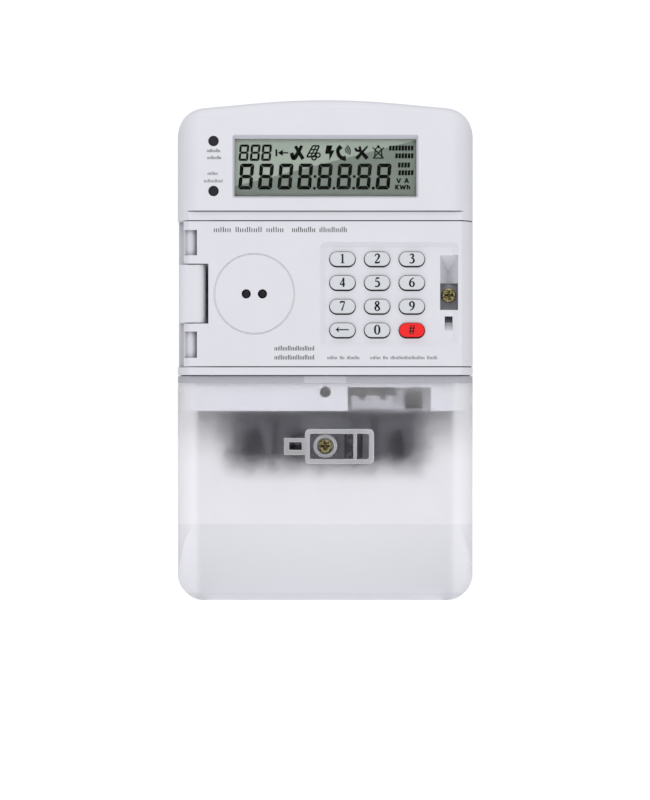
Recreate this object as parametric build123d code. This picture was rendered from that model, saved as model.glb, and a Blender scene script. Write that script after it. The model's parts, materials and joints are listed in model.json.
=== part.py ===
"""Prepaid keypad electricity meter, wall mounted, for one phase.

Frame, in millimetres: X to the meter's right as a reader faces it, +Z up, and the front looks along -Y.
The origin lies on the flat back face, midway across and 101 mm above the lower end. Depths are measured
forward from that face, so a point at depth d has y = -d.
"""

from build123d import *
from math import hypot
import os

# Overall form
WIDTH = 119.0
TOP = 100.1
BOTTOM = -101.0
HEIGHT = TOP - BOTTOM
DEPTH = 70.0  # front of the display hood
TOP_CORNER_R = 11.9  # corners of the outline
BOTTOM_CORNER_R = 10.9
CROWN_R = 300.0  # arc in the middle of the top
CROWN_SLOPE = 0.093  # fall of the top on each side of the arc
SIDE_ROUND_W = 8.7  # side round across the front
SIDE_ROUND_D = 12.0  # side round in depth
SIDE_EASE = 0.05  # how far outside the side the round would end
FRONT_EDGE_R = 3.0  # round of the top and bottom front edges
WALL = 2.2
GAP = 0.4  # shut line between mouldings

# Depth levels
PARTING = 34.0  # rim of the base
RIM_GAP = 0.2
FACE = 68.8  # front face of door and lower band
CAVITY = 66.6  # inside of the front wall
BAY_FLOOR = 50.0  # front of the floor behind the door
BOARD_BACK = 43.0
BOARD_T = 1.6
BOARD_FRONT = BOARD_BACK + BOARD_T

# Heights of the horizontal shut lines
HOOD_STEP_Z = 55.5
DOOR_TOP = 51.5
DOOR_BOTTOM = -6.6
COVER_TOP = -10.5
CASE_BOTTOM = -24.5

# Display
LCD_X = 0.1
LCD_Z = 72.95
LCD_W = 72.8
LCD_H = 23.1
LED_X = -44.7
LED_Z = (63.5, 83.5)
LED_R = 2.1

# Module door and its hinge
HINGE_X = -54.0
HINGE_DEPTH = 63.5
PIN_R = 1.25
PIN_PLAY = 0.05
DOOR_LEFT = -56.8
DOOR_WALL_BACK = 66.0  # inside of the door's front wall
MODULE_LEFT = -45.8
DOOR_BACK = 51.0
KNUCKLE_LOW = 10.9
KNUCKLE_HIGH = 34.1
PORT_X = -28.4
PORT_Z = 22.4
PORT_RING_R = 16.0
PORT_EYE_R = 1.85
PORT_EYE_X = 3.25  # half the spacing of the two light windows

# Keypad
KEY_W = 10.1
KEY_H = 5.55
KEY_COLUMNS = (6.9, 20.8, 34.7)
KEY_ROWS = (36.4, 26.9, 17.4, 7.9)
KEY_NAMES = ("1", "2", "3", "4", "5", "6", "7", "8", "9", "back", "0", "enter")
KEY_FRONT = 69.0
KEY_PLAY = 0.28  # slot wall to key, at the sides
KEY_PLAY_ABOVE = 0.16
KEY_PLAY_BELOW = 0.62
RECESS_FLOOR = 67.8
KEYPAD_BOARD_BACK = 60.6
KEYPAD_BOARD_FRONT = KEYPAD_BOARD_BACK + BOARD_T

# Sealing screws, captive in the door and in the terminal cover
DOOR_SCREW_X = 49.6
DOOR_SCREW_Z = 21.9
COVER_SCREW_X = 0.0
COVER_SCREW_Z = -38.6

# Terminal block and its four cable terminals
BLOCK_HALF_W = 40.0
BLOCK_TOP = -26.0
BLOCK_BOTTOM = -52.0
BLOCK_FRONT = 50.0
TERMINALS = (-29.0, -11.5, 11.5, 29.0)
CABLE_BORE_R = 4.75
CABLE_DEPTH = 22.0
CAGE_HALF = 6.5
CAGE_LOW = -48.0
CAGE_HIGH = -31.0
TERMINAL_SCREW_Z = (-44.0, -35.5)

# Terminal cover
COVER_FACE = 69.2
RAMP_TOP_Z = -69.9
RAMP_SLOPE = 0.39  # depth lost for each millimetre down
RAMP_EASE_R = 14.0  # soft bend where the slope begins
POCKET = (-8.1, 19.5, -45.7, -31.7)  # seal pocket, low and high X, low and high Z
OUTLET_HALF_W = 36.0

# Fixings and inner posts
CASE_SCREWS = ((-50.0, 73.5), (50.0, 73.5), (-50.0, -14.0), (50.0, -14.0))
BOARD_POSTS = ((-41.0, -12.0), (41.0, -12.0), (-41.0, 86.0), (41.0, 86.0))
FIXING_X = 44.0
FIXING_Z = -66.0
FIXING_R = 2.6
MODULE_SCREWS = ((-40.5, -1.5), (-40.5, 46.4), (41.0, -1.5), (41.0, 46.4))
APRON_SCREW_Z = -16.9
HANGER = (-7.0, 7.0, 69.0, 93.0)
AUX_NOTCH = (9.0, 42.3, -15.0)  # low and high X, top


# ---------------------------------------------------------------- helpers

def block(x, depth, z):
    """Box from three (low, high) pairs; depth runs forward from the wall."""
    size = Box(x[1] - x[0], depth[1] - depth[0], z[1] - z[0])
    return Pos(sum(x) / 2, -sum(depth) / 2, sum(z) / 2) * size


def slab(sketch, back, front):
    """Front-view sketch made solid between two depths."""
    return extrude(Plane.XZ.offset(back) * sketch, front - back)


def rod(x, z, radius, back, front):
    """Round bar square to the wall."""
    return slab(Pos(x, z) * Circle(radius), back, front)


def tube(x, z, outer, inner, back, front):
    """Round tube square to the wall."""
    return slab(Pos(x, z) * (Circle(outer) - Circle(inner)), back, front)


def upright(x, depth, radius, low, high):
    """Round bar along Z."""
    return Pos(x, -depth, (low + high) / 2) * Cylinder(radius, high - low)


def side_profile(points, low, high):
    """Solid with a side-view outline of (depth, z) points, from low to high X."""
    outline_points = [(-depth, z) for depth, z in points]
    face = make_face(Polyline(*outline_points, close=True))
    return extrude(Plane.YZ.offset(low) * face, high - low)


def fuse(shapes):
    """Join shapes into one."""
    shapes = list(shapes)
    return shapes[0].fuse(*shapes[1:]) if len(shapes) > 1 else shapes[0]


def group(shapes):
    """Separate solids kept in one node."""
    return Compound(children=[solid for shape in shapes for solid in shape.solids()])


# ---------------------------------------------------------------- outer form

def outline(inset):
    """Front view of the meter, drawn inside its outer edge."""
    half = WIDTH / 2 - inset
    top = TOP - inset
    upper = TOP_CORNER_R - inset
    lower = BOTTOM_CORNER_R - inset
    apex = top + CROWN_R * (hypot(1, CROWN_SLOPE) - 1)
    shoulder = apex - half * CROWN_SLOPE
    points = (
        (-half, BOTTOM + inset),
        (half, BOTTOM + inset),
        (half, shoulder),
        (0, apex),
        (-half, shoulder),
    )
    radii = (lower, lower, upper, CROWN_R, upper)
    return make_face(FilletPolyline(*points, radius=radii, close=True))


def plan(inset, front):
    """Plan view of the meter, with the wide elliptical rounds of its sides."""
    half = WIDTH / 2 - inset + SIDE_EASE
    across = SIDE_ROUND_W - inset / 2
    deep = SIDE_ROUND_D - inset / 2
    edge = half - across
    start = deep - front
    sides = (
        Line((-WIDTH, 0), (-WIDTH, start)),
        Line((-WIDTH, start), (-half, start)),
        EllipticalCenterArc((-edge, start), across, deep, start_angle=180, arc_size=90),
        Line((-edge, -front), (edge, -front)),
        EllipticalCenterArc((edge, start), across, deep, start_angle=270, arc_size=90),
        Line((half, start), (WIDTH, start)),
        Line((WIDTH, start), (WIDTH, 0)),
        Line((WIDTH, 0), (-WIDTH, 0)),
    )
    return make_face(Wire(sides))


def form(inset, back, front):
    """The meter's rounded body between two depths, inset from its outer surface."""
    body = slab(outline(inset), back, front)
    face = body.faces().sort_by(Axis.Y)[0]
    body = fillet(face.edges(), FRONT_EDGE_R - inset / 2)
    sides = extrude(Plane.XY.offset(BOTTOM) * plan(inset, front), HEIGHT)
    return body & sides


def band(low, high, back=-1.0, front=DEPTH + 2):
    """Whole width of the meter between two heights."""
    return block((-WIDTH, WIDTH), (back, front), (low, high))


def hood_step():
    """Material in front of the door's plane, below the display hood, and the fine groove at the step."""
    front = DEPTH + 2
    groove_low = HOOD_STEP_Z - 0.2
    groove_high = HOOD_STEP_Z + 0.2
    groove_depth = FACE - 0.5
    points = (
        (front, groove_high),
        (groove_depth, groove_high),
        (groove_depth, groove_low),
        (FACE, groove_low),
        (FACE, -HEIGHT),
        (front, -HEIGHT),
    )
    return side_profile(points, -WIDTH, WIDTH)


# ---------------------------------------------------------------- case

def base_shell():
    """Tray against the wall, with posts, cable notch, hanger pocket and fixing holes."""
    back = 2.5
    rib = (CASE_BOTTOM, CASE_BOTTOM + WALL)
    tray = slab(outline(0), 0, PARTING) - slab(outline(WALL), back, PARTING + 1)
    hanger_low, hanger_high = HANGER[2:]
    blister = (HANGER[0] - 1.5, HANGER[1] + 1.5)
    reach = WIDTH / 2 - WALL / 2
    add = [block((-reach, reach), (back, PARTING), rib)]
    add += [rod(x, z, 4.2, back, PARTING) for x, z in CASE_SCREWS]
    add += [rod(x, z, 3.0, back, BOARD_BACK) for x, z in BOARD_POSTS]
    add += [rod(side * FIXING_X, FIXING_Z, 6.0, back, 6.0) for side in (-1, 1)]
    add.append(block(blister, (back, 10.0), (hanger_low - 1.5, hanger_high + 1.5)))
    tray = fuse([tray] + add)
    cut = [block(HANGER[:2], (-1, 8.5), HANGER[2:])]
    cut += [rod(x, z, 3.3, -1, 2.3) for x, z in CASE_SCREWS]
    cut += [rod(x, z, 1.9, 0, PARTING + 1) for x, z in CASE_SCREWS]
    cut += [rod(side * FIXING_X, FIXING_Z, FIXING_R, -1, 7.0) for side in (-1, 1)]
    cut += [block((x - 4.5, x + 4.5), (20.4, 23.6), (rib[0] - 1, rib[1] + 1)) for x in TERMINALS]
    outlet = (-OUTLET_HALF_W, OUTLET_HALF_W)
    cut.append(block(outlet, (10.0, PARTING + 1), (BOTTOM - 1, BOTTOM + WALL + 1)))
    return tray - cut


def hanger_plate():
    """Steel plate with the keyhole that hangs the meter on a wall screw."""
    plate = block(HANGER[:2], (0.5, 2.5), HANGER[2:])
    keyhole = Pos(0, 76.0) * Circle(4.75)
    keyhole += Pos(0, 82.0) * Rotation(0, 0, 90) * SlotOverall(17.2, 5.2)
    return plate - slab(keyhole, 0, 3)


def bay_space():
    """Space that the module door closes, between its shut lines."""
    return band(DOOR_BOTTOM - GAP, DOOR_TOP + GAP, BAY_FLOOR)


def display_opening():
    """Opening over the display, with bevelled sides and the seat of its window."""
    side_bevel = 0.8
    top_bevel = 1.6
    bevel_depth = 1.3
    at_face = Pos(LCD_X, LCD_Z + (top_bevel - side_bevel) / 2)
    wide = at_face * RectangleRounded(LCD_W + 2 * side_bevel, LCD_H + side_bevel + top_bevel, 0.9)
    narrow = Pos(LCD_X, LCD_Z) * RectangleRounded(LCD_W, LCD_H, 0.5)
    bevel = loft([Plane.XZ.offset(DEPTH + 0.01) * wide, Plane.XZ.offset(DEPTH - bevel_depth) * narrow])
    through = slab(narrow, CAVITY - 1, DEPTH - bevel_depth + 0.01)
    seat = slab(Pos(LCD_X, LCD_Z) * Rectangle(79.6, 29.6), CAVITY - 1, 67.8)
    return fuse([bevel, through, seat])


def knuckle():
    """Hinge knuckle of the case, standing on the floor of the bay."""
    back, front = BAY_FLOOR - 0.5, 68.4
    left, right = -58.7, -47.9
    plan_view = Pos((left + right) / 2, -(back + front) / 2) * Rectangle(right - left, front - back)
    plan_view = fillet(plan_view.vertices().group_by(Axis.Y)[0], 3.3)
    return extrude(Plane.XY.offset(KNUCKLE_LOW) * plan_view, KNUCKLE_HIGH - KNUCKLE_LOW)


def apron_notch(grow, floor):
    """Recess of the auxiliary terminals in the apron, grown by a wall."""
    low, high, top = AUX_NOTCH
    return block((low - grow, high + grow), (floor, 64.6 + 3 * (1 - grow)), (CASE_BOTTOM, top + grow))


def front_case():
    """Front moulding: display hood, bay of the module door and the apron above the terminals."""
    start = PARTING + RIM_GAP
    seam = COVER_TOP + GAP
    apron_inset = 2.6
    apron_face = 66.5
    upper = (form(0, start, DEPTH) & band(seam, HEIGHT)) - hood_step()
    apron = form(apron_inset, start, apron_face) & band(CASE_BOTTOM, seam + 0.1)
    shell = upper.fuse(apron)
    hollow = form(WALL, start - 1, CAVITY) & band(seam + 2, HEIGHT)
    low_hollow = form(apron_inset + 2, start - 1, apron_face - 2) & band(CASE_BOTTOM + 2, seam + 2.1)
    shell = shell - [hollow, low_hollow]
    liner = band(DOOR_BOTTOM - GAP - 2, DOOR_TOP + GAP + 2, BAY_FLOOR - 2) & form(0.5, start, FACE - 0.4)
    bosses = [rod(x, z, 3.6, start, CAVITY + 0.4 if z > 0 else apron_face - 3) for x, z in CASE_SCREWS]
    shell = fuse([shell, liner] + bosses + [apron_notch(1.0, 56.5)])
    shell = shell - bay_space()
    shell = fuse([shell, knuckle(), rod(DOOR_SCREW_X, DOOR_SCREW_Z, 3.6, BAY_FLOOR - 1, 55.5)])
    cut = [display_opening(), apron_notch(0, 58.0)]
    cut += [rod(LED_X, z, LED_R, CAVITY - 1, DEPTH + 1) for z in LED_Z]
    cut.append(upright(HINGE_X, HINGE_DEPTH, PIN_R, KNUCKLE_LOW - 1, KNUCKLE_HIGH + 1))
    cut += [rod(x, z, 1.5, start - 1, 47.0) for x, z in CASE_SCREWS]
    cut.append(rod(DOOR_SCREW_X, DOOR_SCREW_Z, 2.6, 50.5, 56.0))
    cut.append(rod(0, APRON_SCREW_Z, 2.2, 50.0, DEPTH))
    cut.append(block((-12.2, 12.2), (BAY_FLOOR - 3, BAY_FLOOR + 1), (4.8, 11.2)))
    cut.append(gasket_ring(start - 0.1))
    return shell - cut


def gasket_ring(back):
    """Ring in the middle of the rim, round the sealed upper chamber."""
    lower_edge = Pos(0, CASE_BOTTOM - HEIGHT / 2) * Rectangle(2 * WIDTH, HEIGHT)
    outer = outline(3.0) - Pos(0, 0.6) * lower_edge
    inner = outline(3.8) - Pos(0, 1.4) * lower_edge
    return slab(outer - inner, back, PARTING + 0.8)


def case_gasket():
    """Rubber cord gasket between base and front."""
    return gasket_ring(PARTING)


def case_screws():
    """Four screws driven from the back, through the base into the front moulding."""
    def screw(x, z):
        return fuse([rod(x, z, 3.0, 0.3, 2.3), rod(x, z, 1.5, 2.3, 46.0)]) - cross_slot(x, z, 0.3, 1.5)
    return group(screw(x, z) for x, z in CASE_SCREWS)


def cross_slot(x, z, front, depth_back, arm=3.2, width=0.8):
    """Cross recess between two depths."""
    low, high = sorted((front, depth_back))
    upright_arm = block((x - width / 2, x + width / 2), (low, high), (z - arm / 2, z + arm / 2))
    return upright_arm + block((x - arm / 2, x + arm / 2), (low, high), (z - width / 2, z + width / 2))


def apron_screw():
    """Steel screw under the terminal cover that closes the case."""
    head = rod(0, APRON_SCREW_Z, 2.2, 60.0, 62.0)
    return fuse([head, rod(0, APRON_SCREW_Z, 1.4, 50.0, 60.0)]) - cross_slot(0, APRON_SCREW_Z, 61.2, 62.0)


# ---------------------------------------------------------------- display

def display_window():
    """Clear plate behind the opening."""
    return slab(Pos(LCD_X, LCD_Z) * RectangleRounded(79.0, 29.0, 1.5), CAVITY, 67.8)


def lcd_glass():
    """Liquid crystal cell: two glass plates, the front one lower so that the pins reach the back one."""
    back_plate = block((LCD_X - 38.6, LCD_X + 38.6), (63.8, 65.0), (58.9, 87.1))
    front_plate = block((LCD_X - 38.6, LCD_X + 38.6), (65.0, 66.4), (60.4, 85.6))
    return back_plate.fuse(front_plate)


def lcd_holder():
    """White light box that carries the display above the main board."""
    low, high = 59.6, 86.4
    outer = block((LCD_X - 39.4, LCD_X + 39.4), (BOARD_FRONT, 63.8), (low, high))
    return outer - block((LCD_X - 37.9, LCD_X + 37.9), (BOARD_FRONT - 1, 61.3), (low + 1.5, high - 1.5))


def lcd_pins():
    """Two rows of contact pins from the glass down to the board."""
    count = 18
    pitch = 4.0
    first = LCD_X - pitch * (count - 1) / 2
    rows = ((58.4, 58.9), (87.1, 87.6))
    return group(
        block((first + n * pitch - 0.3, first + n * pitch + 0.3), (BOARD_FRONT, 65.0), row)
        for row in rows for n in range(count)
    )


def status_lenses():
    """Smoked lenses of the two status lights, each with a collar inside the wall."""
    return group(fuse([rod(LED_X, z, LED_R, CAVITY, 69.7), rod(LED_X, z, 3.0, 65.8, CAVITY)]) for z in LED_Z)


def status_leds():
    """Two light-emitting diodes on long legs."""
    def diode(z):
        legs = [rod(LED_X + side * 0.9, z, 0.25, BOARD_FRONT, 60.0) for side in (-1, 1)]
        return fuse([rod(LED_X, z, 1.5, 60.0, 65.5)] + legs)
    return group(diode(z) for z in LED_Z)


# ---------------------------------------------------------------- electronics

def main_board():
    """Main circuit board, notched round the case bosses."""
    board = block((-48.0, 48.0), (BOARD_BACK, BOARD_FRONT), (-20.0, 90.0))
    return board - [rod(x, z, 4.4, BOARD_BACK - 1, BOARD_FRONT + 1) for x, z in CASE_SCREWS]


def circuit_chips():
    """Metering chip, controller and memory on the back of the board."""
    sizes = ((-24, 52, 14, 14), (2, 56, 9, 7), (-4, 36, 7, 5))
    return group(
        block((x - w / 2, x + w / 2), (BOARD_BACK - 1.6, BOARD_BACK), (z - h / 2, z + h / 2))
        for x, z, w, h in sizes
    )


def latching_relay():
    """Relay that cuts the supply when the credit runs out, with its two blade terminals."""
    case = block((-36.0, 2.0), (26.0, BOARD_BACK), (-18.0, 14.0))
    case = fillet(case.edges().filter_by(Axis.Y), 1.5)
    blades = [block((x - 4.0, x + 4.0), (24.0, 26.0), (-14.0, -6.0)) for x in TERMINALS[:2]]
    return fuse([case] + blades)


def current_shunt():
    """Metal strip that measures the current, with its two sense posts."""
    strip = block((TERMINALS[2] - 4.0, TERMINALS[3] + 4.0), (24.0, 26.0), (-14.0, -6.0))
    posts = [rod(x, -10.0, 0.8, 26.0, BOARD_BACK) for x in (16.0, 24.0)]
    return fuse([strip] + posts)


def mains_transformer():
    """Small transformer: core with a wound bobbin through it."""
    core = block((8.0, 40.0), (24.0, BOARD_BACK - 1), (22.0, 48.0))
    core -= block((12.0, 36.0), (18.0, BOARD_BACK), (26.0, 44.0))
    bobbin = block((12.0, 36.0), (20.0, BOARD_BACK), (26.0, 44.0))
    return fuse([core, fillet(bobbin.edges().filter_by(Axis.Y), 3.0)])


def smoothing_capacitors():
    """Two electrolytic cans."""
    return group(rod(x, 30.0, 6.3, 22.0, BOARD_BACK) for x in (-32.0, -16.0))


def surge_varistor():
    """Disc that takes mains surges, on two legs."""
    disc = block((-36.0, -32.0), (26.0, 40.0), (59.0, 73.0))
    disc = fillet(disc.edges().filter_by(Axis.X), 6.5)
    legs = [block((-34.4, -33.6), (39.0, BOARD_BACK), (z - 0.4, z + 0.4)) for z in (62.5, 69.5)]
    return fuse([disc] + legs)


def backup_battery():
    """Lithium cell that keeps the clock, lying in a saddle."""
    cell = Pos(8.0, -(BOARD_BACK - 8.4), 68.0) * Rotation(0, 90, 0) * Cylinder(7.2, 25.0)
    saddle = block((-3.0, 19.0), (BOARD_BACK - 6.0, BOARD_BACK), (61.5, 74.5)) - cell
    return group([cell, saddle])


def contact_block():
    """Insulating body of the module's contacts, through the floor of the bay."""
    body = block((-12.0, 12.0), (BOARD_FRONT, 53.2), (5.0, 11.0))
    return body - [rod(x, 8.0, 0.75, BOARD_FRONT - 1, 54.0) for x in contact_places()]


def contact_places():
    """X of the eight spring contacts."""
    return [-9.8 + 2.8 * n for n in range(8)]


def contact_pins():
    """Gold spring contacts that meet the pads of the module."""
    return group(fuse([rod(x, 8.0, 0.75, BOARD_FRONT, 53.2), rod(x, 8.0, 0.5, 53.2, 56.4)])
                 for x in contact_places())


# ---------------------------------------------------------------- terminals

def terminal_block():
    """Dark moulded block with cable bores below, screw slots in front and cages within."""
    body = block((-BLOCK_HALF_W, BLOCK_HALF_W), (2.5, BLOCK_FRONT), (BLOCK_BOTTOM, BLOCK_TOP))
    front_edges = body.faces().sort_by(Axis.Y)[0].edges()
    body = fillet(front_edges, 1.5)
    cut = []
    for x in TERMINALS:
        cut.append(upright(x, CABLE_DEPTH, 5.0, BLOCK_BOTTOM - 1, CAGE_LOW + 1))
        cage_space = (CABLE_DEPTH - CAGE_HALF, CABLE_DEPTH + CAGE_HALF)
        cut.append(block((x - CAGE_HALF, x + CAGE_HALF), cage_space, (CAGE_LOW, BLOCK_TOP + 1)))
        slot = Pos(x, sum(TERMINAL_SCREW_Z) / 2) * Rotation(0, 0, 90) * SlotOverall(16.0, 7.4)
        cut.append(slab(slot, CABLE_DEPTH + CAGE_HALF - 1, BLOCK_FRONT + 1))
    cut.append(rod(COVER_SCREW_X, COVER_SCREW_Z, 3.2, 42.0, BLOCK_FRONT + 1))
    for x in (-20.25, 20.25):
        cut.append(block((x - 0.8, x + 0.8), (34.0, BLOCK_FRONT + 1), (BLOCK_BOTTOM - 1, BLOCK_TOP + 1)))
    return body - cut


def terminal_cages():
    """Four brass cages that hold the cables."""
    def cage(x):
        depth = (CABLE_DEPTH - CAGE_HALF, CABLE_DEPTH + CAGE_HALF)
        body = block((x - CAGE_HALF, x + CAGE_HALF), depth, (CAGE_LOW, CAGE_HIGH))
        body -= upright(x, CABLE_DEPTH, CABLE_BORE_R, CAGE_LOW - 1, CAGE_HIGH + 1)
        return body - [rod(x, z, 2.4, CABLE_DEPTH + 2, depth[1] + 1) for z in TERMINAL_SCREW_Z]
    return group(cage(x) for x in TERMINALS)


def terminal_screws():
    """Two clamping screws in each cage."""
    def screw(x, z):
        body = fuse([rod(x, z, 2.4, 27.0, 34.0), rod(x, z, 3.2, 34.0, 37.5)])
        return body - cross_slot(x, z, 36.3, 37.5, arm=4.4, width=1.0)
    return group(screw(x, z) for x in TERMINALS for z in TERMINAL_SCREW_Z)


def busbars():
    """Copper straps from the cages up to the relay and the shunt."""
    def strap(x):
        rise = block((x - 4.0, x + 4.0), (20.9, 23.1), (CAGE_HIGH, -6.0))
        return fuse([rise, block((x - 4.0, x + 4.0), (23.1, 24.0), (-14.0, -6.0))])
    return group(strap(x) for x in TERMINALS)


def thread_inserts():
    """Brass inserts that take the two sealing screws."""
    return group([
        tube(COVER_SCREW_X, COVER_SCREW_Z, 3.2, 2.0, 43.0, BLOCK_FRONT),
        tube(DOOR_SCREW_X, DOOR_SCREW_Z, 2.6, 1.95, 50.5, 55.5),
    ])


def aux_terminals():
    """Pulse output connector in the apron, with two screw terminals."""
    body = block((10.5, 27.5), (58.0, 64.0), (-23.5, -16.0))
    cut = [rod(x, -18.6, 1.6, 61.0, 65.0) for x in (14.8, 23.2)]
    cut += [block((x - 1.8, x + 1.8), (59.2, 63.0), (-24.5, -21.5)) for x in (14.8, 23.2)]
    return body - cut


def cover_switch():
    """Tamper switch that the terminal cover holds pressed."""
    body = block((32.0, 39.0), (58.0, 64.5), (-23.5, -17.0))
    return body + rod(35.5, -20.2, 1.3, 64.5, 66.9)


# ---------------------------------------------------------------- module door

def hinge_pin():
    """Steel pin of the door hinge."""
    return upright(HINGE_X, HINGE_DEPTH, PIN_R, -4.5, 49.4)


def hinge_windows():
    """Z ranges of the two windows over the hinge barrels."""
    return ((-3.2, 7.3), (37.9, 48.0))


def keypad_recess():
    """Shallow recess round the keys, with sloping sides."""
    low_x, high_x, low_z, high_z = -2.2, 53.4, 1.0, 43.3
    slope = 2.3
    centre = Pos((low_x + high_x) / 2, (low_z + high_z) / 2)
    width, height = high_x - low_x, high_z - low_z
    at_face = centre * RectangleRounded(width, height, 2.4)
    at_floor = centre * RectangleRounded(width - 2 * slope, height - 2 * slope, 0.8)
    sides = loft([Plane.XZ.offset(FACE) * at_face, Plane.XZ.offset(RECESS_FLOOR) * at_floor])
    return sides.fuse(slab(at_face, FACE, DEPTH + 1))


def seal_trough():
    """V-shaped trough that leads to a pocket round the door screw, the seat of its head, and a small slot."""
    half = 3.55
    pocket_floor = 62.7
    pocket_top = 26.6
    low, high = 16.0, 37.9
    front = RECESS_FLOOR + 1
    left, right = DOOR_SCREW_X - half, DOOR_SCREW_X + half
    points = ((left, -front), (left, -RECESS_FLOOR), (DOOR_SCREW_X, -pocket_floor), (right, -RECESS_FLOOR),
              (right, -front))
    section = make_face(Polyline(*points, close=True))
    trough = extrude(Plane.XY.offset(low) * section, high - low)
    end_slope = ((RECESS_FLOOR, high), (pocket_floor, high - 6.0), (pocket_floor, high))
    trough -= side_profile(end_slope, left - 1, right + 1)
    pocket = block((left, right), (pocket_floor, front), (low, pocket_top))
    seat = rod(DOOR_SCREW_X, DOOR_SCREW_Z, 2.9, pocket_floor, 64.6)
    slot = ((front, 7.7), (RECESS_FLOOR, 7.7), (63.4, 13.4), (front, 13.4))
    return fuse([trough, pocket]) - seat + side_profile(slot, 47.9, 51.0)


def module_door():
    """Hinged front of the plug-in module, with hinge arms, keypad recess and optical port."""
    top_walls = 2.0
    skin = (form(0, DOOR_BACK, DEPTH) & band(DOOR_BOTTOM, DOOR_TOP)) - hood_step()
    skin = skin & block((DOOR_LEFT, WIDTH), (DOOR_BACK, DEPTH), (DOOR_BOTTOM, DOOR_TOP))
    hinge_side = block((-WIDTH, MODULE_LEFT), (0, DOOR_WALL_BACK), (-HEIGHT, HEIGHT))
    inner = form(WALL, DOOR_BACK - 1, DOOR_WALL_BACK) & band(DOOR_BOTTOM + top_walls, DOOR_TOP - top_walls)
    inner = inner & block((MODULE_LEFT + 2, WIDTH), (0, DEPTH), (-HEIGHT, HEIGHT))
    notch = block((-WIDTH, -46.8), (0, DEPTH), (KNUCKLE_LOW - GAP, KNUCKLE_HIGH + GAP))
    windows = [block((-56.6, -51.4), (DOOR_WALL_BACK - 1, DEPTH), z) for z in hinge_windows()]
    door = skin - [hinge_side, inner, notch] - windows
    add = [block((44.0, 55.2), (61.5, RECESS_FLOOR), (5.7, 39.9)) & form(WALL / 2, DOOR_BACK, FACE)]
    add += [rod(x, z, 2.6, 54.0, DOOR_WALL_BACK + 0.5) for x, z in MODULE_SCREWS]
    barrel_r = 2.8
    arms = ((DOOR_BOTTOM + 0.6, KNUCKLE_LOW - GAP), (KNUCKLE_HIGH + GAP, DOOR_TOP - 0.6))
    for arm, window in zip(arms, hinge_windows()):
        add.append(upright(HINGE_X, HINGE_DEPTH, barrel_r, *arm))
        for web in ((arm[0], window[0]), (window[1], arm[1])):
            add.append(block((DOOR_LEFT, -51.2), (HINGE_DEPTH - 1, DOOR_WALL_BACK + 0.5), web))
    door = fuse([door] + add)
    cut = [keypad_recess(), seal_trough()]
    cut.append(upright(HINGE_X, HINGE_DEPTH, PIN_R + PIN_PLAY, -4.9, 49.8))
    cut.append(rod(DOOR_SCREW_X, DOOR_SCREW_Z, 1.75, 61.0, DEPTH))
    cut.append(tube(PORT_X, PORT_Z, PORT_RING_R + 0.3, PORT_RING_R - 0.3, FACE - 0.4, DEPTH))
    cut += [rod(PORT_X + side * PORT_EYE_X, PORT_Z, PORT_EYE_R, 65.0, DEPTH) for side in (-1, 1)]
    key_slot = SlotOverall(KEY_W + 2 * KEY_PLAY, KEY_H + KEY_PLAY_ABOVE + KEY_PLAY_BELOW)
    key_slot = Pos(0, (KEY_PLAY_ABOVE - KEY_PLAY_BELOW) / 2) * key_slot
    cut += [slab(Pos(x, z) * key_slot, 65.0, DEPTH) for x in KEY_COLUMNS for z in KEY_ROWS]
    cut += [rod(x, z, 0.95, 53.0, 61.0) for x, z in MODULE_SCREWS]
    return door - cut


def key(x, z):
    """Key cap with its stop flange behind the door and the stem that presses the contact."""
    cap = slab(Pos(x, z) * SlotOverall(KEY_W, KEY_H), DOOR_WALL_BACK - 0.05, KEY_FRONT)
    cap = fillet(cap.faces().sort_by(Axis.Y)[0].edges(), 0.45)
    flange = slab(Pos(x, z) * SlotOverall(KEY_W + 1.6, KEY_H + 1.6), 65.15, DOOR_WALL_BACK - 0.05)
    return fuse([cap, flange, rod(x, z, 1.5, 63.55, 65.15)])


def keypad_board():
    """Circuit board behind the keys and the optical port."""
    board = block((-42.0, 43.4), (KEYPAD_BOARD_BACK, KEYPAD_BOARD_FRONT), (-2.5, 47.5))
    return board - [rod(x, z, 3.0, KEYPAD_BOARD_BACK - 1, KEYPAD_BOARD_FRONT + 1) for x, z in MODULE_SCREWS]


def dome_sheet():
    """Film of snap contacts, shown pressed flat, on the keypad board."""
    film = block((0.5, 41.0), (KEYPAD_BOARD_FRONT, KEYPAD_BOARD_FRONT + 0.2), (3.5, 41.0))
    domes = [rod(x, z, 2.2, KEYPAD_BOARD_FRONT + 0.2, KEYPAD_BOARD_FRONT + 0.5)
             for x in KEY_COLUMNS for z in KEY_ROWS]
    return fuse([film] + domes)


def port_ring():
    """Steel ring that the magnet of an optical reading head holds to."""
    return tube(PORT_X, PORT_Z, 13.5, 8.0, 64.4, DOOR_WALL_BACK)


def port_diodes():
    """Infra-red sender and receiver behind the two round windows."""
    def diode(x):
        body = rod(x, PORT_Z, 1.8, KEYPAD_BOARD_FRONT, 68.0)
        return fillet(body.edges().sort_by(Axis.Y)[0], 0.9)
    return group(diode(PORT_X + side * PORT_EYE_X) for side in (-1, 1))


def radio_board():
    """Communication board of the plug-in module, with its row of contact pads."""
    board = block((-37.5, 38.0), (56.8, 58.0), (2.0, 42.0))
    pads = [block((x - 1.0, x + 1.0), (56.6, 56.8), (6.0, 10.0)) for x in contact_places()]
    return fuse([board] + pads)


def radio_shield():
    """Folded screening can on the radio board."""
    can = block((-30.0, -4.0), (58.0, 60.4), (14.0, 34.0))
    return fillet(can.edges().filter_by(Axis.Y), 1.2)


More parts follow.
